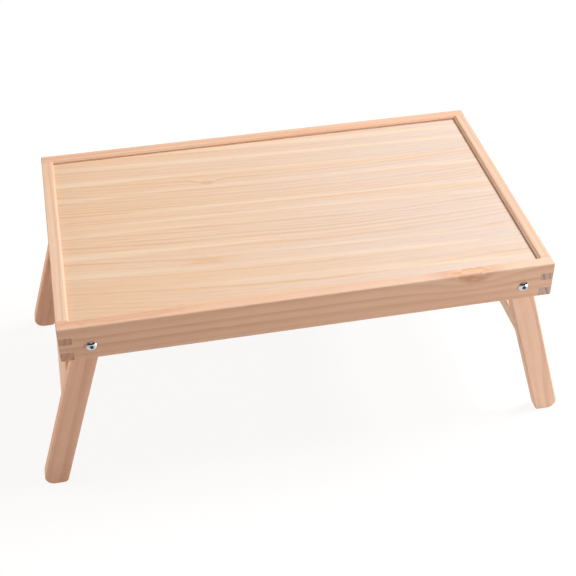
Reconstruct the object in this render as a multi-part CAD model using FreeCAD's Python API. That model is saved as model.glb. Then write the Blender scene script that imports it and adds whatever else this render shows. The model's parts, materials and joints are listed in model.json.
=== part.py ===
import FreeCAD, Part
import math
import os

# A pine bed tray table: a finger-jointed frame round a grooved-in panel, standing on two
# pairs of legs that fold flat under it. Millimetres. +Z is up, +X runs along the tray's
# length, +Y points away from the user. The origin is on the floor, under the tray's middle.

# tray
tray_length = 500.0
tray_depth = 308.0
overall_height = 225.0
rail_height = 40.4
rail_thickness = 13.2
frame_arris = 0.8

# finger joints, counted down from the rim; the last finger takes what is left of the rail
first_long_finger = 12.0
first_end_finger = 7.5
second_long_finger = 10.5
joint_gap = 0.02

# panel and the rim round it
rim_lip = 4.0
rim_chamfer = 2.0
panel_thickness = 5.0
groove_depth = 5.0
panel_gap = 0.15

# pivot bolts, with the gap round the shank in each piece that it passes through
shank_radius = 3.0
rail_hole_gap = 0.1
leg_hole_gap = 0.08
ring_hole_gap = 0.2
nut_hole_gap = 0.03
head_radius = 5.5
head_height = 3.2
head_rim = 0.6
socket_width = 4.0
socket_depth = 1.9
shank_tail = 1.2

# spacer between rail and leg, then the washer and lock nut inside the leg
spacer_radius = 7.0
spacer_thickness = 1.8
washer_radius = 6.2
washer_thickness = 1.2
nut_width = 10.0
nut_hex_height = 4.4
nut_collar_height = 1.6
nut_collar_radius = 4.2
running_gap = 0.12

# legs, and the room round their round tops as they fold
crown_end_gap = 5.2
crown_panel_gap = 3.0
leg_width = 25.5
leg_thickness = 15.0
leg_arris = 1.2
foot_outer_radius = 10.0
foot_inner_radius = 5.0
stop_gap = 0.1

# crossbar between the two legs of a pair
crossbar_drop = 83.5
crossbar_height = 31.0
crossbar_thickness = 15.0
crossbar_arris = 1.0

# dowels that hold a crossbar's ends
dowel_radius = 4.0
dowel_length = 26.0
dowel_in_leg = 10.0
dowel_spacing = 16.0
dowel_gap = 0.04
dowel_end_gap = 0.4

# worked out from the sizes above
half_length = tray_length / 2
half_depth = tray_depth / 2
inner_x = half_length - rail_thickness
inner_y = half_depth - rail_thickness
rim_z = overall_height
rail_bottom_z = rim_z - rail_height
panel_top_z = rim_z - rim_lip
panel_bottom_z = panel_top_z - panel_thickness
pivot_x = inner_x - crown_end_gap - leg_width / 2
pivot_z = panel_bottom_z - crown_panel_gap - leg_width / 2
ring_hole_radius = shank_radius + ring_hole_gap
leg_outer_y = inner_y - spacer_thickness - running_gap
leg_inner_y = leg_outer_y - leg_thickness
washer_outer_y = leg_inner_y - running_gap
nut_outer_y = washer_outer_y - washer_thickness
nut_height = nut_hex_height + nut_collar_height
shank_end_y = nut_outer_y - nut_height - shank_tail

UP = FreeCAD.Vector(0, 0, 1)
AWAY = FreeCAD.Vector(0, 1, 0)
ALONG = FreeCAD.Vector(1, 0, 0)
FRONT, BACK = -1, 1
LEFT, RIGHT = -1, 1
SIDES = {"left": LEFT, "right": RIGHT}
FACES = {"front": FRONT, "back": BACK}


def leg_splay():
    """Degrees a leg leans out when it rests on the bottom arris of the end rail."""
    across = inner_x - pivot_x
    below = pivot_z - rail_bottom_z
    reach = math.hypot(across, below)
    lean = math.acos((leg_width / 2 + stop_gap) / reach)
    return math.degrees(lean - math.atan2(below, across))


def block(low, high):
    """Box between two corners."""
    low, high = FreeCAD.Vector(*low), FreeCAD.Vector(*high)
    size = high - low
    return Part.makeBox(size.x, size.y, size.z, low)


def rod(radius, y_start, y_end, x=0.0, z=0.0):
    """Cylinder that lies along Y."""
    low = min(y_start, y_end)
    return Part.makeCylinder(radius, abs(y_end - y_start), FreeCAD.Vector(x, low, z), AWAY)


def turned(profile, crown):
    """Solid of revolution round +Y from (radius, y) points, closed by an arc up to its crown.

    The first point is on the axis. The arc belongs to a circle centred on the axis.
    """
    corners = [FreeCAD.Vector(radius, y, 0) for radius, y in profile]
    edge, top = corners[-1], FreeCAD.Vector(0, crown, 0)
    rise = crown - edge.y
    radius = (edge.x ** 2 + rise ** 2) / (2 * rise)
    half_angle = math.asin(edge.x / radius) / 2
    middle = FreeCAD.Vector(radius * math.sin(half_angle), crown - radius * (1 - math.cos(half_angle)), 0)
    dome = Part.Arc(edge, middle, top).toShape()
    outline = Part.Wire(Part.makePolygon(corners).Edges + [dome, Part.makeLine(top, corners[0])])
    return Part.Face(outline).revolve(FreeCAD.Vector(0, 0, 0), AWAY, 360)


def hexagon(width, y_start, y_end):
    """Hexagonal prism along +Y, with a pair of its flats facing up and down."""
    corner = width / math.sqrt(3)
    ring = [FreeCAD.Vector(corner * math.cos(math.radians(60 * k)), y_start,
                           corner * math.sin(math.radians(60 * k))) for k in range(7)]
    face = Part.Face(Part.makePolygon(ring))
    return face.extrude(FreeCAD.Vector(0, y_end - y_start, 0))


def finger_bands():
    """Heights of the end rails' two fingers, as (low z, high z)."""
    upper_top = rim_z - first_long_finger
    upper_bottom = upper_top - first_end_finger
    lower_top = upper_bottom - second_long_finger
    return [(upper_bottom, upper_top), (rail_bottom_z, lower_top)]


def rim_flare():
    """The space that the chamfer round the inside of the rim takes away: a block that widens upwards."""
    widening = 2 * rim_chamfer
    flare = Part.makeWedge(-inner_x, 0, -inner_y, -inner_y - widening, -inner_x - widening,
                           inner_x, widening, inner_y, inner_y + widening, inner_x + widening)
    flare.rotate(FreeCAD.Vector(0, 0, 0), ALONG, 90)
    flare.translate(FreeCAD.Vector(0, 0, rim_z - rim_chamfer))
    return flare


def panel_groove():
    """The groove round the inside of the frame, open towards the panel."""
    x, y = inner_x + groove_depth, inner_y + groove_depth
    return block((-x, -y, panel_bottom_z - panel_gap), (x, y, panel_top_z + panel_gap))


def frame_outside():
    """Outside of the glued-up frame, with all its arrises eased."""
    outside = block((-half_length, -half_depth, rail_bottom_z), (half_length, half_depth, rim_z))
    return outside.makeChamfer(frame_arris, outside.Edges)


def finished_rail(rail):
    """A rail with the panel's groove, the rim's chamfer and its eased outer arrises."""
    return rail.cut(panel_groove()).cut(rim_flare()).common(frame_outside()).removeSplitter()


def long_rail(face):
    """Front or back rail, full length, notched at both ends for the end rails' fingers."""
    y_outer, y_inner = face * half_depth, face * inner_y
    y_low, y_high = min(y_outer, y_inner), max(y_outer, y_inner)
    rail = block((-half_length, y_low, rail_bottom_z), (half_length, y_high, rim_z))
    for side in (LEFT, RIGHT):
        x_end, x_root = side * half_length, side * (inner_x - joint_gap)
        for z_low, z_high in finger_bands():
            top = z_high + joint_gap
            bottom = z_low - joint_gap
            rail = rail.cut(block((min(x_end, x_root), y_low, bottom), (max(x_end, x_root), y_high, top)))
        rail = rail.cut(rod(shank_radius + rail_hole_gap, y_low, y_high, side * pivot_x, pivot_z))
    return finished_rail(rail)


def end_rail(side):
    """Left or right rail: it butts between the long rails and has two fingers at each end."""
    x_outer, x_inner = side * half_length, side * inner_x
    x_low, x_high = min(x_outer, x_inner), max(x_outer, x_inner)
    y_butt = inner_y - joint_gap
    rail = block((x_low, -y_butt, rail_bottom_z), (x_high, y_butt, rim_z))
    for z_low, z_high in finger_bands():
        rail = rail.fuse(block((x_low, -half_depth, z_low), (x_high, half_depth, z_high)))
    return finished_rail(rail)


def top_panel():
    """Panel whose edges sit in the frame's groove."""
    x, y = inner_x + groove_depth - panel_gap, inner_y + groove_depth - panel_gap
    return block((-x, -y, panel_bottom_z), (x, y, panel_top_z))


def lean(shape, side):
    """Turn a piece from hanging straight down at the origin to its place on a splayed leg."""
    shape.rotate(FreeCAD.Vector(0, 0, 0), AWAY, -side * leg_splay())
    shape.translate(FreeCAD.Vector(side * pivot_x, 0, pivot_z))
    return shape


def dowel_places():
    """Distances down the leg of the two dowels at one end of a crossbar."""
    middle = crossbar_drop + crossbar_height / 2
    return [middle - dowel_spacing / 2, middle + dowel_spacing / 2]


def leg_outline(side):
    """Leg seen from the front, hanging from its pivot: round top, foot cut level with the floor."""
    half = leg_width / 2
    slope = math.tan(math.radians(leg_splay()))
    foot = pivot_z / math.cos(math.radians(leg_splay()))
    outer_end, inner_end = -(foot + half * slope), -(foot - half * slope)
    a, b = FreeCAD.Vector(side * half, 0, 0), FreeCAD.Vector(-side * half, 0, 0)
    c = FreeCAD.Vector(-side * half, 0, inner_end)
    d = FreeCAD.Vector(side * half, 0, outer_end)
    crown = Part.Arc(a, FreeCAD.Vector(0, 0, half), b).toShape()
    edges = [crown, Part.makeLine(b, c), Part.makeLine(c, d), Part.makeLine(d, a)]
    return Part.Face(Part.Wire(edges))


def foot_edges(leg, side, outer):
    """The foot's outer or inner bottom edge."""
    x = side * leg_width / 2 if outer else -side * leg_width / 2
    found = []
    for edge in leg.Edges:
        box = edge.BoundBox
        if box.YLength > leg_thickness / 2 and abs(box.Center.x - x) < 0.01 and box.Center.z < -leg_width:
            found.append(edge)
    return found


def leg(side, face):
    """One leg, with its foot rounded, its arrises eased, its pivot hole and its dowel holes."""
    y_outer, y_inner = face * leg_outer_y, face * leg_inner_y
    body = leg_outline(side).extrude(FreeCAD.Vector(0, leg_thickness, 0))
    body.translate(FreeCAD.Vector(0, min(y_outer, y_inner), 0))
    body = body.makeFillet(foot_outer_radius, foot_edges(body, side, True))
    body = body.makeFillet(foot_inner_radius, foot_edges(body, side, False))
    rims = [e for e in body.Edges if e.BoundBox.YLength < 0.01]
    body = body.makeChamfer(leg_arris, rims)
    body = body.cut(rod(shank_radius + leg_hole_gap, y_outer, y_inner))
    for drop in dowel_places():
        depth = y_inner + face * (dowel_in_leg + dowel_end_gap)
        body = body.cut(rod(dowel_radius + dowel_gap, y_inner, depth, 0, -drop))
    return lean(body, side)


def crossbar(side):
    """The board between two legs, its ends drilled for the dowels."""
    half = crossbar_thickness / 2
    bar = block((-half, -leg_inner_y, -crossbar_drop - crossbar_height), (half, leg_inner_y, -crossbar_drop))
    arrises = [e for e in bar.Edges if e.BoundBox.YLength > crossbar_height]
    bar = bar.makeChamfer(crossbar_arris, arrises)
    in_bar = dowel_length - dowel_in_leg + dowel_end_gap
    for face in FACES.values():
        for drop in dowel_places():
            end = face * leg_inner_y
            bar = bar.cut(rod(dowel_radius + dowel_gap, end, end - face * in_bar, 0, -drop))
    return lean(bar, side)


def crossbar_dowels(side):
    """The wooden dowels at both ends of a crossbar, each part in a leg and part in the bar."""
    pins = []
    for face in FACES.values():
        leg_end = face * (leg_inner_y + dowel_in_leg)
        for drop in dowel_places():
            pins.append(rod(dowel_radius, leg_end - face * dowel_length, leg_end, 0, -drop))
    return lean(Part.Compound(pins), side)


def at_pivots(shape, side):
    """Copies of a piece made along +Y, outwards from the tray's middle, at a pair's two pivots."""
    front, back = shape.copy(), shape.copy()
    front.rotate(FreeCAD.Vector(0, 0, 0), UP, 180)
    pair = Part.Compound([front, back])
    pair.translate(FreeCAD.Vector(side * pivot_x, 0, pivot_z))
    return pair


def pivot_bolt():
    """Domed bolt with a hexagonal socket, from outside the rail to past its nut."""
    seat = half_depth
    crown = seat + head_height
    body = turned([(0, shank_end_y), (shank_radius, shank_end_y), (shank_radius, seat),
                   (head_radius, seat), (head_radius, seat + head_rim)], crown)
    return body.cut(hexagon(socket_width, crown - socket_depth, crown + head_rim))


def ring(radius, y_inner, y_outer):
    """Flat ring that the shank passes through."""
    return rod(radius, y_inner, y_outer).cut(rod(ring_hole_radius, y_inner, y_outer))


def lock_nut():
    """Hexagonal nut with a round locking collar."""
    y_seat, y_hex = nut_outer_y, nut_outer_y - nut_hex_height
    y_end = nut_outer_y - nut_height
    nut = hexagon(nut_width, y_hex, y_seat).fuse(rod(nut_collar_radius, y_end, y_hex))
    return nut.cut(rod(shank_radius + nut_hole_gap, y_end, y_seat))


def all_pieces():
    """Every piece, or group of like fasteners, by its name."""
    fasteners = {"bolts": pivot_bolt(),
                 "spacers": ring(spacer_radius, inner_y - spacer_thickness, inner_y),
                 "washers": ring(washer_radius, nut_outer_y, washer_outer_y),
                 "lock_nuts": lock_nut()}
    pieces = {"top_panel": top_panel()}
    for face_name, face in FACES.items():
        pieces[face_name + "_rail"] = long_rail(face)
    for side_name, side in SIDES.items():
        pieces[side_name + "_end_rail"] = end_rail(side)
        pieces[side_name + "_crossbar"] = crossbar(side)
        pieces[side_name + "_crossbar_dowels"] = crossbar_dowels(side)
        for face_name, face in FACES.items():
            pieces[side_name + "_" + face_name + "_leg"] = leg(side, face)
        for fastener_name, fastener in fasteners.items():
            pieces[side_name + "_pivot_" + fastener_name] = at_pivots(fastener, side)
    return pieces


def main():
    os.makedirs("parts", exist_ok=True)
    for name, shape in all_pieces().items():
        if not shape.isValid() or not shape.Solids:
            raise ValueError(name + " is not sound")
        shape.exportStep("parts/" + name + ".step")
    foot_x = pivot_x + pivot_z * math.tan(math.radians(leg_splay()))
    print("leg splay, degrees:", round(leg_splay(), 3))
    print("pivot x, z:", round(pivot_x, 3), round(pivot_z, 3))
    print("foot centre x, leg middle y:", round(foot_x, 3), round((leg_outer_y + leg_inner_y) / 2, 3))


main()
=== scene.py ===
import bmesh
import bpy
import json
import math
from mathutils import Matrix, Quaternion, Vector


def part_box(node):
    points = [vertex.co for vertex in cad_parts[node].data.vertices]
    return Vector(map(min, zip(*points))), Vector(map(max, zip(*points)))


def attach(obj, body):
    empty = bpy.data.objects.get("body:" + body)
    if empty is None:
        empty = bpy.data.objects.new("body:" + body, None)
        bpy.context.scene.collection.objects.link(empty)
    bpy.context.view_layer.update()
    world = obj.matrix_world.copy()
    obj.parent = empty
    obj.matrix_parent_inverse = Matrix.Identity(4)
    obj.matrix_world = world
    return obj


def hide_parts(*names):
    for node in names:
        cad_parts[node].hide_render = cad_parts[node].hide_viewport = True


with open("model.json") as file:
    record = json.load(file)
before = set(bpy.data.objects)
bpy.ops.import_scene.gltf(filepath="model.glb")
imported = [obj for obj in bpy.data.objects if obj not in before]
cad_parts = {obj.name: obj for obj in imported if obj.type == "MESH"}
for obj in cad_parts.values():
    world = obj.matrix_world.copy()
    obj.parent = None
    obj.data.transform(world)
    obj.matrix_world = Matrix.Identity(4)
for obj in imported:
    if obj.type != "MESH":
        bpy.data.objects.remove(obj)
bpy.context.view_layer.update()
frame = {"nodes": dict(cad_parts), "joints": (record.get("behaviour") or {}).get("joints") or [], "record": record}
scene = bpy.context.scene
scene.view_settings.view_transform = "Standard"
mm = 0.001
print("frame loaded,", len(frame["nodes"]), "CAD nodes")

# the camera looks down on the tray from the front, a little left of the middle
cameraView = {
    "turned": -11.36,                     # degrees round the table
    "raised": 39.09,                      # degrees above the floor
    "rolled": -0.40,
    "distance": 1.188,
    "aimsAt": (-0.0221, -0.1364, 0.225),
    "lens": 75.35, "sensor": 36.0,        # mm
}


def placeCamera(view):
    turned, raised = math.radians(view["turned"]), math.radians(view["raised"])
    level = math.cos(raised)
    back = Vector((math.sin(turned) * level, -math.cos(turned) * level, math.sin(raised)))
    camera = bpy.data.objects.new("camera", bpy.data.cameras.new("camera"))
    camera.data.lens = view["lens"]
    camera.data.sensor_width = view["sensor"]
    camera.location = Vector(view["aimsAt"]) + back * view["distance"]
    camera.rotation_mode = "QUATERNION"
    roll = Quaternion((0, 0, 1), math.radians(view["rolled"]))
    camera.rotation_quaternion = (-back).to_track_quat("-Z", "Y") @ roll
    scene.collection.objects.link(camera)
    scene.camera = camera


placeCamera(cameraView)
print("camera placed")


# node helpers: each adds one node to the tree and returns its output socket
def put(tree, kind, inputs, output=0, **settings):
    node = tree.nodes.new(kind)
    for key, value in settings.items():
        setattr(node, key, value)
    for key, value in inputs.items():
        if isinstance(value, bpy.types.NodeSocket):
            tree.links.new(value, node.inputs[key])
        else:
            node.inputs[key].default_value = value
    return node.outputs[output] if len(node.outputs) else node


def calc(tree, operation, a, b=0.0, c=0.0):
    return put(tree, "ShaderNodeMath", {0: a, 1: b, 2: c}, operation=operation)


def vectorCalc(tree, operation, a, b=(0, 0, 0)):
    output = 1 if operation in ("LENGTH", "DOT_PRODUCT") else 0
    return put(tree, "ShaderNodeVectorMath", {0: a, 1: b}, output, operation=operation)


def component(tree, vector, axis):
    return put(tree, "ShaderNodeSeparateXYZ", {0: vector}, axis)


def coordinate(tree, kind):
    return put(tree, "ShaderNodeTexCoord", {}, kind)


def geometry(tree, kind):
    return put(tree, "ShaderNodeNewGeometry", {}, kind)


def ease(tree, value, low, high, toLow=0.0, toHigh=1.0):    # soft step between two values
    inputs = {"Value": value, "From Min": low, "From Max": high, "To Min": toLow, "To Max": toHigh}
    return put(tree, "ShaderNodeMapRange", inputs, interpolation_type="SMOOTHSTEP")


def mix(tree, share, a, b, blend="MIX"):
    return put(tree, "ShaderNodeMix", {0: share, 6: a, 7: b}, 2, data_type="RGBA", blend_type=blend)


def noise(tree, place, stretch, seed, detail=2.0, output=0):    # stretch: size of the noise, mm
    grid = vectorCalc(tree, "DIVIDE", place, stretch)
    inputs = {"Vector": grid, "W": seed, "Scale": 1.0, "Detail": detail}
    return put(tree, "ShaderNodeTexNoise", inputs, output, noise_dimensions="4D")


usual = (0.3, 0.7)                        # most of a noise lies between these


def roughRange(look):
    return look["rough"] - look["roughVaries"], look["rough"] + look["roughVaries"]


def relief(tree, height, look):           # the surface tilted by a height
    inputs = {"Height": height, "Strength": look["relief"], "Distance": look["reliefDepth"] * mm}
    return put(tree, "ShaderNodeBump", inputs)


def newMaterial(name):
    material = bpy.data.materials.new(name)
    material.use_nodes = True
    material.node_tree.nodes.clear()
    return material


def picked(red, green, blue):             # a colour as read on screen, 0 to 255, for a shader
    def channel(value):
        value /= 255
        return value / 12.92 if value <= 0.04045 else ((value + 0.055) / 1.055) ** 2.4
    return (channel(red), channel(green), channel(blue), 1)


# floor and room: plain and pale, shown white behind the table
white = (1, 1, 1, 1)
room = {
    "floorSize": 30.0,
    "floorColour": picked(222, 221, 220),
    "floorLight": 0.6,                    # what the open floor sends back
    "shadowShown": 0.12,                  # how much of the table's shadow the camera sees
    "fill": 0.342,                        # light from all round,
    "fillTint": (1.0, 0.94, 0.88, 1),     # warmed by the room
    # what polished metal sees, and between which places each part of it begins
    "mirroredFloor": 0.68,
    "mirroredHorizon": 1.0,
    "mirroredLeft": 0.3,                  # floor and horizon on the left, away from the lamps
    "leftOfFloor": (-0.75, -0.3),         # x on the floor, m
    "leftOfHorizon": (-0.8, -0.35),       # x of the direction
    "walls": 0.02, "wallsBegin": (0.0, 0.16),           # z of the direction
    "ceiling": 0.42, "ceilingBegins": (0.42, 0.66),
}


def floorMaterial(look):
    material = newMaterial("paleFloor")
    tree = material.node_tree
    path = tree.nodes.new("ShaderNodeLightPath")
    mirrored = calc(tree, "MAXIMUM", path.outputs["Is Glossy Ray"], path.outputs["Is Transmission Ray"])
    seen = calc(tree, "MAXIMUM", path.outputs["Is Camera Ray"], mirrored)
    # where it is seen, most of the floor's light is its own, and the shadow on it is thinned
    thinned = look["shadowShown"] / look["floorLight"]
    thinColour = tuple(thinned * channel for channel in look["floorColour"][:3]) + (1,)
    matt = put(tree, "ShaderNodeBsdfDiffuse", {"Color": mix(tree, seen, look["floorColour"], thinColour)})
    seenGlow = calc(tree, "MULTIPLY", path.outputs["Is Camera Ray"], 1 - look["shadowShown"])
    across = component(tree, geometry(tree, "Position"), "X")
    mirroredGlow = ease(tree, across, *look["leftOfFloor"], look["mirroredLeft"], look["mirroredFloor"])
    glow = calc(tree, "MULTIPLY_ADD", mirrored, mirroredGlow, seenGlow)
    own = put(tree, "ShaderNodeEmission", {"Color": white, "Strength": glow})
    shown = put(tree, "ShaderNodeAddShader", {0: matt, 1: own})
    # seen from under it, the floor isn't there
    clear = put(tree, "ShaderNodeBsdfTransparent", {})
    surface = put(tree, "ShaderNodeMixShader", {0: geometry(tree, "Backfacing"), 1: shown, 2: clear})
    put(tree, "ShaderNodeOutputMaterial", {"Surface": surface})
    return material


def makeFloor(look):
    half = look["floorSize"] / 2
    mesh = bpy.data.meshes.new("floor")
    corners = [(-half, -half, 0), (half, -half, 0), (half, half, 0), (-half, half, 0)]
    mesh.from_pydata(corners, [], [(0, 1, 2, 3)])
    mesh.materials.append(floorMaterial(look))
    floor = bpy.data.objects.new("floor", mesh)
    scene.collection.objects.link(floor)


def makeRoomLight(look):
    world = bpy.data.worlds.new("room")
    world.use_nodes = True
    tree = world.node_tree
    tree.nodes.clear()
    path = tree.nodes.new("ShaderNodeLightPath")
    direction = coordinate(tree, "Generated")
    height = component(tree, direction, "Z")
    across = component(tree, direction, "X")
    horizon = ease(tree, across, *look["leftOfHorizon"], look["mirroredLeft"], look["mirroredHorizon"])
    walls = ease(tree, height, *look["wallsBegin"], horizon, look["walls"])
    ceiling = ease(tree, height, *look["ceilingBegins"], 0.0, look["ceiling"])
    mirroredRoom = calc(tree, "ADD", walls, ceiling)
    fill = put(tree, "ShaderNodeBackground", {"Color": look["fillTint"], "Strength": look["fill"]})
    mirrored = put(tree, "ShaderNodeBackground", {"Color": mirroredRoom, "Strength": 1.0})
    backdrop = put(tree, "ShaderNodeBackground", {"Color": white, "Strength": 1.0})
    unseen = put(tree, "ShaderNodeMixShader", {0: path.outputs["Is Glossy Ray"], 1: fill, 2: mirrored})
    seen = calc(tree, "MAXIMUM", path.outputs["Is Camera Ray"], path.outputs["Is Transmission Ray"])
    surface = put(tree, "ShaderNodeMixShader", {0: seen, 1: unseen, 2: backdrop})
    put(tree, "ShaderNodeOutputWorld", {"Surface": surface})
    scene.world = world


lamps = {
    # large and soft, from the right and high up
    "keyLamp": {
        "place": (1.6, 0.2, 2.1), "aimsAt": (0.0, 0.0, 0.15), "size": 1.3,
        "watts": 66, "tint": (1.0, 1.02, 1.035), "mirrored": True,
    },
    # weak and low at the front right, lifts the legs and the front rail there
    "frontLamp": {
        "place": (0.95, -0.8, 0.12), "aimsAt": (0.25, -0.1, 0.06), "size": 0.4,
        "watts": 3.4, "tint": (1.0, 0.99, 0.97), "mirrored": True,
    },
    # weak and low on the left, for the sides that face that way; the metal doesn't mirror it
    "leftLamp": {
        "place": (-1.5, 0.25, 0.36), "aimsAt": (0.0, 0.0, 0.2), "size": 0.5,
        "watts": 6.2, "tint": (1.0, 0.8, 0.66), "mirrored": False,
    },
}


def addLamp(name, look):
    data = bpy.data.lights.new(name, "AREA")
    data.size = look["size"]
    data.energy = look["watts"]
    data.color = look["tint"]
    lamp = bpy.data.objects.new(name, data)
    lamp.location = look["place"]
    toward = Vector(look["aimsAt"]) - Vector(look["place"])
    lamp.rotation_euler = toward.to_track_quat("-Z", "Y").to_euler()
    lamp.visible_camera = False
    lamp.visible_glossy = look["mirrored"]
    scene.collection.objects.link(lamp)


makeFloor(room)
makeRoomLight(room)
for lampName, lampLook in lamps.items():
    addLamp(lampName, lampLook)
print("floor, room and lamps ready")

# where things are, from the frame
pivots = {joint["child"]: Vector(joint["pos_m"]) for joint in frame["joints"]}
feet = {mount["name"]: Vector(mount["pos_m"]) for mount in frame["record"]["mounts"]}
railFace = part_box("back_rail")[1].y       # outer face of the back rail; the front rail mirrors it


def middleOf(node):
    low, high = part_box(node)
    return (low + high) / 2


# pine: year rings round a pith that lies along each board, bent by slow drifts and by knots.
# Sizes are in mm, in the board's own directions: x along the grain, y across, z up.
# Each noise takes its own step from the board's seed, and a range named "In" is the part of a
# noise over which a thing sets in.
pine = {
    "seed": 1.0,
    "pith": (40, -90),                    # y and z from the board's middle to the pith
    "ring": 3.4,                          # width of a year's growth,
    "uneven": 1.6, "unevenOver": 4.5,     # and how much it changes, over how many years
    "lateGrows": (0.3, 0.86), "lateEnds": (0.9, 0.995),    # parts of the year, for the darker late wood
    "faintest": 0.25,                     # how weak the weakest ring is
    "faded": 0.45, "fadedIn": (0.3, 0.62), "fadedSize": (150, 9, 9),
    "bow": 0.0,                           # how much the grain bends along the board
    "drift": 5.0, "driftSize": (330, 90, 90),
    "ripple": 0.45, "rippleSize": (60, 12, 12),
    "early": picked(243, 212, 183),
    "late": picked(226, 182, 146),
    # bands of redder and of paler wood
    "blush": picked(233, 184, 152), "blushShare": 0.4, "blushIn": (0.42, 0.68),
    "cream": picked(248, 226, 203), "creamShare": 0.5, "creamIn": (0.5, 0.7),
    "bandSize": (420, 22, 22),
    # painted light: a paler colour laid on toward +x, and more on top faces than below, where the light falls
    # stronger
    "paintedLight": picked(250, 236, 224), "paintedLightOnLate": 0.4,    # late wood takes less of the painted light
    "paintedLightAlong": (-250, 250, 0.0),       # from x, to x, and the share of painted light it ends with:
    "paintedLightAbove": -100, "paintedLightBlends": 1.5,   # all of it above this z, after this much of blending,
    "paintedLightBelow": 1.0,                    # and this share of it below
    "fibreTone": (0.93, 1.028), "fibreIn": (0.25, 0.75), "fibreSize": (26, 0.32, 0.32),
    "resin": picked(186, 134, 98), "resinShare": 0.3, "resinIn": (0.7, 0.8), "resinSize": (7, 0.28, 0.28),
    "endEarly": picked(205, 170, 148), "endLate": picked(168, 128, 108),
    "endFrom": (0.6, 0.85),               # how squarely a face has to cut the grain to count as a cut end
    "poreTone": (0.86, 1.06), "poreSize": (0.5, 0.35, 0.35),
    "worn": picked(250, 226, 200), "wear": 0.2, "wornReach": 1.1,
    "wornRound": (0.72, 0.995),           # from quite round to flat
    # dust and painted shade: darker in joints and corners, where nearby surfaces close in
    "dustAndShade": picked(150, 98, 66), "dustAndShadeShare": 0.6, "dustAndShadeReach": 1.0,
    "dustAndShadeOpen": (0.45, 0.95),            # from closed in to open
    "dustAndShadeAlong": (-400, -300, 1.0),      # from x, to x, and the share of the darkening it begins with
    "rough": 0.5, "roughVaries": 0.05, "roughSize": (60, 25, 25),
    "fibreRough": 0.14, "endRough": 0.12,    # what fibres and cut ends add to it
    "relief": 0.35, "reliefDepth": 0.12,
    "lateRaised": 0.35, "fibreRaised": 0.65,
    "specular": 0.22, "coat": 0.04, "coatRough": 0.38,
    "arris": 0.3,                         # rounding of the edges
    "knots": [],                          # each swerves the rings by its push,
    "knotFades": 0.35,                    # which dies away from it this fast
    "knotRings": 12.0, "knotEdge": (0.6, 1.15), "knotRagged": 1.1, "knotRaggedSize": (14, 5, 5),
}


def fromKnot(tree, place, knot):          # 1 at the knot's edge
    offset = vectorCalc(tree, "SUBTRACT", place, knot["at"])
    return vectorCalc(tree, "LENGTH", vectorCalc(tree, "DIVIDE", offset, knot["size"]))


def bentGrain(tree, place, look):         # the place, moved by the bends of the grain
    along = component(tree, place, "X")
    bow = calc(tree, "MULTIPLY", calc(tree, "POWER", along, 2.0), -look["bow"])
    bent = vectorCalc(tree, "ADD", place, put(tree, "ShaderNodeCombineXYZ", {"Y": bow}))
    drift = noise(tree, place, look["driftSize"], look["seed"], 1.5, 1)
    ripple = noise(tree, place, look["rippleSize"], look["seed"] + 1.7, 2.0, 1)
    for wave, amount in ((drift, look["drift"]), (ripple, look["ripple"])):
        centred = vectorCalc(tree, "SUBTRACT", wave, (0.5, 0.5, 0.5))
        bent = vectorCalc(tree, "ADD", bent, vectorCalc(tree, "MULTIPLY", centred, (0, 2 * amount, 2 * amount)))
    return bent


def lateWood(tree, place, look):          # 0 in the pale early wood of a year, up to 1 in the dark late wood
    bent = bentGrain(tree, place, look)
    fromPith = vectorCalc(tree, "SUBTRACT", bent, (0, *look["pith"]))
    distance = vectorCalc(tree, "LENGTH", vectorCalc(tree, "MULTIPLY", fromPith, (0, 1, 1)))
    for knot in look["knots"]:
        away = calc(tree, "POWER", fromKnot(tree, bent, knot), 2.0)
        swerve = calc(tree, "EXPONENT", calc(tree, "MULTIPLY", away, -look["knotFades"]))
        distance = calc(tree, "ADD", distance, calc(tree, "MULTIPLY", swerve, knot["push"]))
    years = calc(tree, "DIVIDE", distance, look["ring"])
    slow = {"W": calc(tree, "DIVIDE", years, look["unevenOver"]), "Detail": 1.0, "Scale": 1.0}
    uneven = put(tree, "ShaderNodeTexNoise", slow, noise_dimensions="1D")
    years = calc(tree, "ADD", years, calc(tree, "MULTIPLY", uneven, look["uneven"]))
    season = calc(tree, "FRACT", years)
    grown = ease(tree, season, *look["lateGrows"])
    late = calc(tree, "MULTIPLY", grown, ease(tree, season, *look["lateEnds"], 1.0, 0.0))
    ownStrength = put(tree, "ShaderNodeTexWhiteNoise", {"W": calc(tree, "FLOOR", years)}, noise_dimensions="1D")
    late = calc(tree, "MULTIPLY", late, ease(tree, ownStrength, 0.0, 1.0, look["faintest"], 1.0))
    fading = noise(tree, place, look["fadedSize"], look["seed"] + 3.1)
    return calc(tree, "MULTIPLY", late, ease(tree, fading, *look["fadedIn"], look["faded"], 1.0))


def withKnot(tree, place, colour, knot, look):
    ragged = noise(tree, place, look["knotRaggedSize"], look["seed"] + 9.0, 2.0)
    ragged = calc(tree, "MULTIPLY", calc(tree, "SUBTRACT", ragged, 0.5), look["knotRagged"])
    away = calc(tree, "ADD", fromKnot(tree, place, knot), ragged)
    rings = calc(tree, "COSINE", calc(tree, "MULTIPLY", away, look["knotRings"]))
    heart = mix(tree, ease(tree, rings, -1.0, 1.0), knot["light"], knot["dark"])
    return mix(tree, ease(tree, away, *look["knotEdge"], knot["strength"], 0.0), colour, heart)


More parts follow.
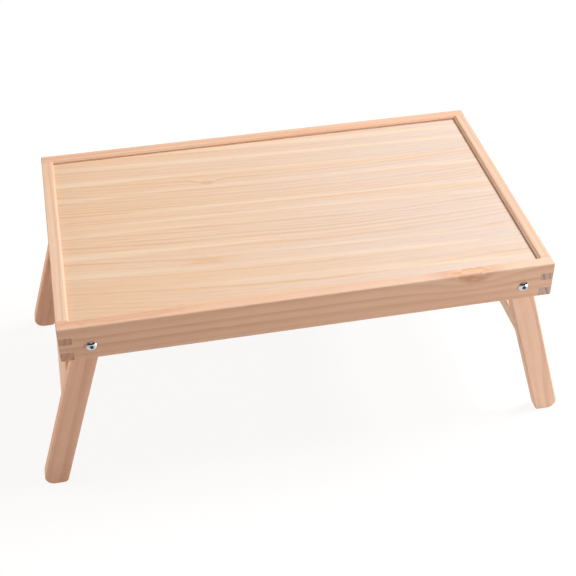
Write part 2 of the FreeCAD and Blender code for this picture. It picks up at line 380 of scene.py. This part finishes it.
def boardColour(tree, place, late, look):
    # painted light: paler toward +x, fully above a height and only a share below it
    start, end, share = look["paintedLightAlong"]
    lightPainted = ease(tree, component(tree, place, "X"), start, end, 0.0, share)
    paintedLightFrom = look["paintedLightAbove"] - look["paintedLightBlends"]
    paintedLightByHeight = ease(tree, component(tree, place, "Z"), paintedLightFrom, look["paintedLightAbove"], look["paintedLightBelow"], 1.0)
    lightPainted = calc(tree, "MULTIPLY", lightPainted, paintedLightByHeight)
    early = mix(tree, lightPainted, look["early"], look["paintedLight"])
    latest = mix(tree, calc(tree, "MULTIPLY", lightPainted, look["paintedLightOnLate"]), look["late"], look["paintedLight"])
    colour = mix(tree, late, early, latest)
    redder = noise(tree, place, look["bandSize"], look["seed"] + 4.3)
    colour = mix(tree, ease(tree, redder, *look["blushIn"], 0.0, look["blushShare"]), colour, look["blush"])
    paler = noise(tree, place, look["bandSize"], look["seed"] + 6.9)
    colour = mix(tree, ease(tree, paler, *look["creamIn"], 0.0, look["creamShare"]), colour, look["cream"])
    for knot in look["knots"]:
        colour = withKnot(tree, place, colour, knot, look)
    return colour


def withFibres(tree, place, colour, fibre, look):    # and the short dark dashes of resin channels
    tone = ease(tree, fibre, *look["fibreIn"], *look["fibreTone"])
    colour = mix(tree, 1.0, colour, tone, "MULTIPLY")
    dash = noise(tree, place, look["resinSize"], look["seed"] + 11.4, 0.0)
    return mix(tree, ease(tree, dash, *look["resinIn"], 0.0, look["resinShare"]), colour, look["resin"])


# cut ends drink more lacquer, so they are darker and greyer, with crisper rings
def cutEndColour(tree, place, late, look):
    colour = mix(tree, late, look["endEarly"], look["endLate"])
    pore = noise(tree, place, look["poreSize"], look["seed"] + 13.0, 2.0)
    return mix(tree, 1.0, colour, ease(tree, pore, *usual, *look["poreTone"]), "MULTIPLY")


# arrises rubbed a little paler by hands; joints and corners darkened where nearby surfaces close in: dust there,
# and painted shade
def withWearDustAndShade(tree, place, colour, look):
    rounded = put(tree, "ShaderNodeBevel", {"Radius": look["wornReach"] * mm}, samples=4)
    square = vectorCalc(tree, "DOT_PRODUCT", rounded, geometry(tree, "Normal"))
    colour = mix(tree, ease(tree, square, *look["wornRound"], look["wear"], 0.0), colour, look["worn"])
    # painted shade, with dust: the colour darkens where the occlusion closes in
    reach = {"Distance": look["dustAndShadeReach"] * mm}
    opening = put(tree, "ShaderNodeAmbientOcclusion", reach, "AO", samples=4)
    start, end, share = look["dustAndShadeAlong"]
    darkening = ease(tree, component(tree, place, "X"), start, end, share * look["dustAndShadeShare"], look["dustAndShadeShare"])
    return mix(tree, ease(tree, opening, *look["dustAndShadeOpen"], darkening, 0.0), colour, look["dustAndShade"])


def pineMaterial(name, look, centre, turn):
    material = newMaterial(name)
    tree = material.node_tree
    where = {"Vector": coordinate(tree, "Object"), "Location": centre, "Scale": (mm, mm, mm)}
    place = put(tree, "ShaderNodeMapping", where | {"Rotation": turn}, vector_type="TEXTURE")
    facing = {"Vector": coordinate(tree, "Normal"), "Rotation": turn}
    facing = put(tree, "ShaderNodeMapping", facing, vector_type="TEXTURE")
    cutEnd = ease(tree, calc(tree, "ABSOLUTE", component(tree, facing, "X")), *look["endFrom"])
    late = lateWood(tree, place, look)
    fibre = noise(tree, place, look["fibreSize"], look["seed"] + 8.2, 1.0)

    colour = boardColour(tree, place, late, look)
    colour = withFibres(tree, place, colour, fibre, look)
    colour = mix(tree, cutEnd, colour, cutEndColour(tree, place, late, look))
    colour = withWearDustAndShade(tree, place, colour, look)

    patchy = noise(tree, place, look["roughSize"], look["seed"] + 15.0)
    roughness = ease(tree, patchy, *usual, *roughRange(look))
    fibreRough = calc(tree, "MULTIPLY", calc(tree, "SUBTRACT", fibre, 0.5), look["fibreRough"])
    roughness = calc(tree, "ADD", roughness, fibreRough)
    roughness = calc(tree, "ADD", roughness, calc(tree, "MULTIPLY", cutEnd, look["endRough"]))
    lateHeight = calc(tree, "MULTIPLY", late, look["lateRaised"])
    height = calc(tree, "ADD", lateHeight, calc(tree, "MULTIPLY", fibre, look["fibreRaised"]))
    wood = put(tree, "ShaderNodeBsdfPrincipled", {
        "Base Color": colour, "Roughness": roughness, "Normal": relief(tree, height, look),
        "Specular IOR Level": look["specular"],
        "Coat Weight": look["coat"], "Coat Roughness": look["coatRough"],
    })
    put(tree, "ShaderNodeOutputMaterial", {"Surface": wood})
    return material


panelLook = pine | {
    "seed": 3.0, "pith": (-420, -170), "ring": 5.6, "uneven": 1.5, "faintest": 0.3, "bow": 0.00018,
    "drift": 9.0, "driftSize": (260, 80, 80), "ripple": 1.2, "rippleSize": (70, 14, 14),
    "early": picked(237, 202, 173), "late": picked(229, 184, 139),
    "blush": picked(236, 198, 160), "blushShare": 0.45,
    "cream": picked(244, 220, 196), "creamShare": 0.7, "bandSize": (620, 13, 13),
    # painted light: paler and whiter toward the right, the lamp's light and sheen painted on
    "paintedLight": picked(220, 216, 218), "paintedLightAlong": (-230, 240, 0.5),
    # painted shadow: darkening at the rails, strongest near the right end rail, where its shadow falls on the
    # panel
    "dustAndShade": picked(204, 128, 96), "dustAndShadeReach": 3.0, "dustAndShadeAlong": (170, 232, 0.15),
    "knots": [                            # two small eyes
        {"at": (-75, 66, 0), "size": (9, 4, 9), "push": 7.0, "strength": 0.5,
         "dark": picked(218, 154, 100), "light": picked(236, 186, 140)},
        {"at": (-88, -78, 0), "size": (26, 3.4, 9), "push": 5.0, "strength": 0.4,
         "dark": picked(222, 164, 112), "light": picked(236, 192, 150)},
    ],
}
frontRailLook = pine | {
    "seed": 7.0, "pith": (-60, -190), "ring": 9.5, "uneven": 2.5, "driftSize": (300, 60, 60),
    "early": picked(240, 195, 164), "late": picked(208, 148, 116),
    "blush": picked(224, 166, 134), "cream": picked(243, 206, 177),
    # painted light: the top paler toward the right, the face only a little
    "paintedLight": picked(240, 210, 187), "paintedLightAlong": (-160, 150, 0.75), "paintedLightAbove": 19.5, "paintedLightBelow": 0.2,
    "knots": [
        # one knot, pinker on the top than on the face
        {"at": (162, -2, 19), "size": (27, 9, 9), "push": 9.0, "strength": 0.6,
         "dark": picked(222, 158, 114), "light": picked(243, 196, 162)},
        {"at": (164, -8, 14), "size": (17, 5, 6.5), "push": 6.0, "strength": 0.6,
         "dark": picked(198, 146, 114), "light": picked(212, 162, 132)},
        # and painted shade at the left of the top, darker and redder, which bends no rings
        {"at": (-185, 2, 20), "size": (80, 7, 4), "push": 0.0, "strength": 0.6,
         "dark": picked(226, 168, 138), "light": picked(232, 178, 148)},
    ],
}
backRailLook = pine | {
    "seed": 12.0, "pith": (60, -120), "early": picked(240, 197, 166), "late": picked(228, 170, 135),
    "blush": picked(236, 178, 145), "creamShare": 0.2, "dustAndShadeShare": 0.0,
    "arris": 0.12,                        # a tight joint with the panel
}
leftEndLook = pine | {
    "seed": 17.0, "pith": (72, 16), "ring": 5.6, "early": picked(246, 213, 186), "late": picked(235, 186, 154),
    "endEarly": picked(212, 168, 142), "endLate": picked(190, 142, 118),
}
rightEndLook = pine | {
    "seed": 22.0, "pith": (-75, 12), "ring": 5.2, "early": picked(232, 200, 173), "late": picked(219, 167, 137),
    "blush": picked(231, 178, 150), "cream": picked(238, 209, 184),
    "endEarly": picked(214, 182, 166), "endLate": picked(168, 136, 126),
    # painted shade: a dark red-brown line where the panel meets this rail, in the gap's shadow
    "dustAndShade": picked(150, 74, 44), "dustAndShadeShare": 0.95,
}
legLook = pine | {
    "pith": (45, 25), "ring": 5.2, "uneven": 2.2, "driftSize": (170, 40, 40),
    "early": picked(248, 200, 171), "late": picked(223, 162, 130),
    "blush": picked(235, 176, 148), "cream": picked(249, 210, 184),
}
# painted light: the right legs painted paler than the left, for the stronger light on the right
rightLegPaintedLightLook = legLook | {
    "early": picked(252, 210, 182), "late": picked(226, 168, 136),
    "blush": picked(240, 186, 158), "cream": picked(250, 218, 196),
}
# painted light: paler than the other boards, to lift the crossbars where they sit in shade
crossbarPaintedLightLook = pine | {
    "pith": (-20, 70), "ring": 4.2, "early": picked(255, 217, 186), "late": picked(240, 190, 154),
}
dowelLook = pine | {
    "seed": 41.0, "pith": (30, 30), "ring": 1.6, "early": picked(222, 184, 146), "late": picked(204, 160, 120),
    "rough": 0.62,
}

# how the grain of each board runs
alongTray = (0, 0, 0)
acrossTray = (0, 0, math.radians(90))
panelTurn = (0, 0, math.radians(-2.5))    # sawn a little out of line


def leanOf(leg):                          # from its pivot to its foot
    side = leg.split("_")[0]
    foot = feet[leg.replace("_leg", "_foot")]
    down = (Vector((foot.x, 0, foot.z)) - pivots[side + "_legs"]).normalized()
    back = Vector((0, 1, 0))
    return Matrix((down, back, down.cross(back))).transposed().to_euler()


meshCare = {"mergeWithin": 0.001, "flatWithin": 0.5, "arrisOver": 28, "arrisSteps": 3}    # mm and degrees


def dressWood(node, look, turn):
    board = frame["nodes"][node]
    material = pineMaterial(node + "_pine", look, middleOf(node), turn)
    for slot in board.material_slots:
        slot.material = material
    weld = board.modifiers.new("weld", "WELD")
    weld.merge_threshold = meshCare["mergeWithin"] * mm
    flatten = board.modifiers.new("flatten", "DECIMATE")
    flatten.decimate_type = "DISSOLVE"
    flatten.angle_limit = math.radians(meshCare["flatWithin"])
    bevel = board.modifiers.new("arris", "BEVEL")
    bevel.width = look["arris"] * mm
    bevel.segments = meshCare["arrisSteps"]
    bevel.limit_method = "ANGLE"
    bevel.angle_limit = math.radians(meshCare["arrisOver"])
    bevel.use_clamp_overlap = False
    bevel.harden_normals = True


dressWood("top_panel", panelLook, panelTurn)
dressWood("front_rail", frontRailLook, alongTray)
dressWood("back_rail", backRailLook, alongTray)
dressWood("left_end_rail", leftEndLook, acrossTray)
dressWood("right_end_rail", rightEndLook, acrossTray)
print("tray dressed")

for sideIndex, side in enumerate(("left", "right")):
    dressWood(side + "_crossbar", crossbarPaintedLightLook | {"seed": 26.0 + 5 * sideIndex}, acrossTray)
    dressWood(side + "_crossbar_dowels", dowelLook, acrossTray)
    sideLook = (legLook, rightLegPaintedLightLook)[sideIndex]
    for faceIndex, face in enumerate(("front", "back")):
        leg = side + "_" + face + "_leg"
        dressWood(leg, sideLook | {"seed": 30.0 + 7 * sideIndex + 3 * faceIndex}, leanOf(leg))
print("legs and crossbars dressed")


# bolts, nuts and rings: skinned from rows of points round the pivot's line, which runs along y, in mm
def circle(radius, y, sides=96):
    angles = [math.tau * step / sides for step in range(sides)]
    return [Vector((radius * math.cos(a), y, radius * math.sin(a))) for a in angles]


def hexagon(across, y, largest=1000.0, sides=96):    # flats up and down; corners no further out than largest
    row = []
    for step in range(sides):
        angle = math.tau * step / sides
        reach = across / 2 / math.cos(angle % (math.tau / 6) - math.tau / 12)
        row.append(Vector((math.cos(angle), 0, math.sin(angle))) * min(reach, largest) + Vector((0, y, 0)))
    return row


def arc(centreRadius, centreY, radius, start, end, steps=5):    # degrees, 0 outwards and 90 along +y
    turns = [math.radians(start + (end - start) * k / steps) for k in range(steps + 1)]
    return [circle(centreRadius + radius * math.cos(t), centreY + radius * math.sin(t)) for t in turns]


sharpOver = 32                            # degrees: an edge that turns further stays crisp


def skin(name, rows, closed):             # closed: the last row meets the first; else both ends are capped
    made = bmesh.new()
    rows = [[made.verts.new(point * mm) for point in row] for row in rows]
    for row, following in zip(rows, rows[1:] + (rows[:1] if closed else [])):
        for k in range(len(row)):
            made.faces.new((row[k - 1], row[k], following[k], following[k - 1]))
    if not closed:
        made.faces.new(rows[0])
        made.faces.new(rows[-1])
    bmesh.ops.recalc_face_normals(made, faces=made.faces)
    mesh = bpy.data.meshes.new(name)
    made.to_mesh(mesh)
    made.free()
    mesh.shade_smooth()
    mesh.set_sharp_from_angle(angle=math.radians(sharpOver))
    return mesh


bolt = {
    "shank": 3.0, "pitch": 1.0, "threadDepth": 0.5, "threaded": 12.0, "rowsPerTurn": 8,
    "thinned": 0.7, "thinnest": 0.9,      # how far the very end tapers, and the most it loses
    "runOut": 0.4,                        # from the thread to the plain shank
    "pastNut": 1.2,                       # how far it stands out of its nut
    "lip": 0.6,                           # straight rim under the dome
    "underside": 0.25,                    # rounding where the head meets the rail
    "socket": 4.0, "socketDepth": 1.9, "socketChamfer": 0.3, "socketLip": 0.08,
    "drill": 1.44, "drillTip": 0.1, "drillRim": 0.05, "drillDepth": 0.9,    # hole at the socket's bottom
}


def threadRow(y, tail, look):
    row = circle(look["shank"], y)
    for k, point in enumerate(row):
        turn = (y / look["pitch"] - k / len(row)) % 1
        depth = look["threadDepth"] * abs(2 * turn - 1)
        depth += max(0.0, look["thinned"] - (y - tail))
        point.xz = point.xz * (1 - min(depth, look["thinnest"]) / look["shank"])
    return row


def boltRows(seat, crown, tail, headRadius, look):    # from the tail, over the head, into the socket
    rows = []
    steps = int(look["threaded"] / look["pitch"] * look["rowsPerTurn"])
    for step in range(steps + 1):
        rows.append(threadRow(tail + look["threaded"] * step / steps, tail, look))
    rows.append(circle(look["shank"], tail + look["threaded"] + look["runOut"]))
    rows.append(circle(look["shank"], seat))
    rounding = look["underside"]
    rows += arc(headRadius - rounding, seat + rounding, rounding, -90, 0, 3)
    rise = crown - seat - look["lip"]
    domeRadius = (headRadius ** 2 + rise ** 2) / (2 * rise)
    domeCentre = crown - domeRadius
    mouth = look["socket"] / math.sqrt(3) + look["socketChamfer"]
    lowest = math.degrees(math.acos(headRadius / domeRadius))
    highest = math.degrees(math.acos(mouth / domeRadius))
    rows += arc(0, domeCentre, domeRadius, lowest, highest, 10)
    top = rows[-1][0].y
    rows.append(hexagon(look["socket"] + look["socketChamfer"], top - look["socketLip"]))
    rows.append(hexagon(look["socket"], top - look["socketChamfer"]))
    bottom = crown - look["socketDepth"]
    rows.append(hexagon(look["socket"], bottom))
    rows.append(circle(look["drill"], bottom - look["drillRim"]))
    rows.append(circle(look["drillTip"], bottom - look["drillDepth"]))
    return rows


rings = {
    "play": 0.2,                          # between a ring's bore and the bolt, all round
    "spacerPlay": 0.12,                   # between the spacer and the leg
    "spacerRounding": 0.35, "washerRounding": 0.15,
}


def ringRows(inner, outer, low, high, rounding):
    rows = arc(outer - rounding, low + rounding, rounding, -90, 0, 3)
    rows += arc(outer - rounding, high - rounding, rounding, 0, 90, 3)
    rows += arc(inner + rounding, high - rounding, rounding, 90, 180, 3)
    return rows + arc(inner + rounding, low + rounding, rounding, 180, 270, 3)


nut = {
    "height": 6.0,
    "bore": 3.05, "mouth": 3.5, "mouthDepth": 0.5,
    "turnedTo": 4.75,                     # the hexagon's faces are turned down to this radius,
    "turnedSlope": 0.58, "turnedSteps": 5,    # on a slope of 30 degrees
    "collar": 4.2, "collarHeight": 1.6, "collarRounding": 0.7,
    "neck": (0.15, 0.2),                  # small step where the collar meets the hexagon: out, down
    "insertRadius": 3.55, "insertRim": 0.05, "insertDeep": 0.35, "insertStep": 0.4,
}
nutInsert = {"bore": 2.95, "low": 0.12, "high": 0.9, "rounding": 0.1}    # low and high: from the collar's end


def nutRows(across, seat, end, look):     # from the seat, on the leg's side, to the collar's end
    steps = look["turnedSteps"]
    flank = end + look["collarHeight"]
    turned = across / math.sqrt(3) - look["turnedTo"]    # what turning takes off the corners
    drop = turned * look["turnedSlope"]
    rows = [circle(look["bore"], seat - look["mouthDepth"]), circle(look["mouth"], seat)]
    for step in range(steps + 1):
        rows.append(hexagon(across, seat - drop * step / steps, look["turnedTo"] + turned * step / steps))
    for step in range(steps, -1, -1):
        rows.append(hexagon(across, flank + drop * step / steps, look["turnedTo"] + turned * step / steps))
    out, down = look["neck"]
    rows.append(circle(look["collar"] + out, flank))
    rows.append(circle(look["collar"], flank - down))
    rounding = look["collarRounding"]
    rows += arc(look["collar"] - rounding, end + rounding, rounding, 0, -90, 5)
    rows.append(circle(look["insertRadius"], end + look["insertRim"]))
    rows.append(circle(look["insertRadius"], end + look["insertDeep"]))
    rows.append(circle(look["bore"], end + look["insertDeep"] + look["insertStep"]))
    return rows


def fromPivot(tree):                      # the place on a piece, in its own directions, in mm
    return vectorCalc(tree, "DIVIDE", coordinate(tree, "Object"), (mm, mm, mm))


# metals: faint scratches, smears and a little tarnish, with painted shade in sockets and bores
def metalMaterial(name, look):
    material = newMaterial(name)
    tree = material.node_tree
    place = fromPivot(tree)
    smear = noise(tree, place, look["smearSize"], look["seed"], 3.0)
    scratch = noise(tree, place, look["scratchSize"], look["seed"] + 2.0, 2.0)
    tarnished = ease(tree, smear, *look["tarnishIn"], 0.0, look["tarnishShare"])
    colour = mix(tree, tarnished, look["colour"], look["tarnish"])
    # painted shade in a socket and a bore, which are also rougher: near the axis, and beyond a place along it
    fromAxis = vectorCalc(tree, "LENGTH", vectorCalc(tree, "MULTIPLY", place, (1, 0, 1)))
    beyond = calc(tree, "GREATER_THAN", component(tree, place, "Y"), look["recessShadeBeyond"])
    recess = calc(tree, "MULTIPLY", ease(tree, fromAxis, *look["recessShadeWithin"], 1.0, 0.0), beyond)
    colour = mix(tree, recess, colour, look["paintedRecessShade"])
    roughness = ease(tree, smear, *look["smearIn"], *roughRange(look))
    roughness = calc(tree, "MULTIPLY_ADD", recess, look["recessRough"], roughness)
    metal = put(tree, "ShaderNodeBsdfPrincipled", {
        "Base Color": colour, "Metallic": 1.0, "Roughness": roughness, "Normal": relief(tree, scratch, look),
    })
    put(tree, "ShaderNodeOutputMaterial", {"Surface": metal})
    return material


chrome = metalMaterial("brightChrome", {
    "seed": 51.0, "colour": picked(232, 233, 236),
    "tarnish": picked(196, 196, 200), "tarnishShare": 0.5, "tarnishIn": (0.4, 0.7),
    "rough": 0.11, "roughVaries": 0.05, "smearIn": (0.3, 0.75), "smearSize": (3.0, 3.0, 3.0),
    "relief": 0.25, "reliefDepth": 0.02, "scratchSize": (0.2, 2.0, 0.2),
    # painted shade in the socket, darker and rougher
    "paintedRecessShade": picked(58, 56, 62), "recessRough": 0.3,
    "recessShadeWithin": (1.677, 1.95), "recessShadeBeyond": railFace / mm - 5,    # only the socket
})
zinc = metalMaterial("zincPlate", {
    "seed": 57.0, "colour": picked(206, 208, 212),
    "tarnish": picked(190, 184, 160), "tarnishShare": 0.45, "tarnishIn": (0.4, 0.7),
    "rough": 0.33, "roughVaries": 0.08, "smearIn": (0.3, 0.75), "smearSize": (3.0, 3.0, 3.0),
    "relief": 0.5, "reliefDepth": 0.02, "scratchSize": (0.3, 0.3, 0.3),
    # painted shade inside the bores, darker and rougher
    "paintedRecessShade": picked(120, 118, 112), "recessRough": 0.3,
    "recessShadeWithin": (2.838, 3.3), "recessShadeBeyond": -1000,    # the whole bore
})


def nylonMaterial(name, look):
    material = newMaterial(name)
    tree = material.node_tree
    place = fromPivot(tree)
    cloud = noise(tree, place, look["cloudSize"], look["seed"], 2.0)
    colour = mix(tree, ease(tree, cloud, *look["shadeIn"]), look["colour"], look["shade"])
    grainy = noise(tree, place, look["grainSize"], look["seed"] + 1.0, 2.0)
    plastic = put(tree, "ShaderNodeBsdfPrincipled", {
        "Base Color": colour, "Normal": relief(tree, grainy, look),
        "Roughness": ease(tree, grainy, *usual, *roughRange(look)),
        "Subsurface Weight": look["milky"], "Subsurface Scale": look["milkyDepth"] * mm,
    })
    put(tree, "ShaderNodeOutputMaterial", {"Surface": plastic})
    return material


nylon = nylonMaterial("nylon", {
    "seed": 61.0, "colour": picked(232, 229, 219),
    "shade": picked(222, 217, 203), "shadeIn": (0.35, 0.7), "cloudSize": (4.0, 4.0, 4.0),
    "rough": 0.45, "roughVaries": 0.06,
    "relief": 0.3, "reliefDepth": 0.03, "grainSize": (0.25, 0.25, 0.25),
    "milky": 0.15, "milkyDepth": 0.5,
})


def addHardware(name, mesh, material, matrix, node):
    piece = bpy.data.objects.new(name, mesh)
    piece.matrix_world = matrix
    if not mesh.materials:
        mesh.materials.append(material)
    scene.collection.objects.link(piece)
    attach(piece, "tray")
    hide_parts(node)


def reachOf(node):                        # a pair's outer end along y, and the radius of one of it, in mm
    low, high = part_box(node)
    return high.y / mm, (high.x - low.x) / 2 / mm


def fastenPivots():
    crown, headRadius = reachOf("left_pivot_bolts")
    spacerEnd, spacerRadius = reachOf("left_pivot_spacers")
    washerEnd, washerRadius = reachOf("left_pivot_washers")
    nutSeat, _ = reachOf("left_pivot_lock_nuts")
    low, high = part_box("left_pivot_lock_nuts")
    acrossFlats = (high.z - low.z) / mm
    nutEnd = nutSeat - nut["height"]
    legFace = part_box("left_back_leg")[1].y / mm
    bore = bolt["shank"] + rings["play"]

    bolts = boltRows(railFace / mm, crown, nutEnd - bolt["pastNut"], headRadius, bolt)
    spacers = ringRows(bore, spacerRadius, legFace + rings["spacerPlay"], spacerEnd, rings["spacerRounding"])
    washers = ringRows(bore, washerRadius, nutSeat, washerEnd, rings["washerRounding"])
    nuts = nutRows(acrossFlats, nutSeat, nutEnd, nut)
    insertLow, insertHigh = nutEnd + nutInsert["low"], nutEnd + nutInsert["high"]
    inserts = ringRows(nutInsert["bore"], nut["insertRadius"], insertLow, insertHigh, nutInsert["rounding"])
    kinds = [
        ("Bolt", skin("bolt", bolts, False), chrome, "bolts", "chrome_bolts"),
        ("Spacer", skin("spacer", spacers, True), nylon, "spacers", "nylon_spacers"),
        ("Washer", skin("washer", washers, True), zinc, "washers", "zinc_steel"),
        ("LockNut", skin("lockNut", nuts, True), zinc, "lock_nuts", "zinc_steel"),
        ("NutInsert", skin("nutInsert", inserts, True), nylon, "lock_nuts", "nylon_spacers"),
    ]
    for side in ("left", "right"):
        pivot = pivots[side + "_legs"]
        for face, turn in (("Back", 0), ("Front", math.pi)):
            matrix = Matrix.Translation((pivot.x, 0, pivot.z)) @ Matrix.Rotation(turn, 4, "Z")
            for kind, mesh, material, nodes, slot in kinds:
                addHardware(side + face + kind, mesh, material, matrix, side + "_pivot_" + nodes)


fastenPivots()
print("bolts, spacers, washers and nuts fastened")
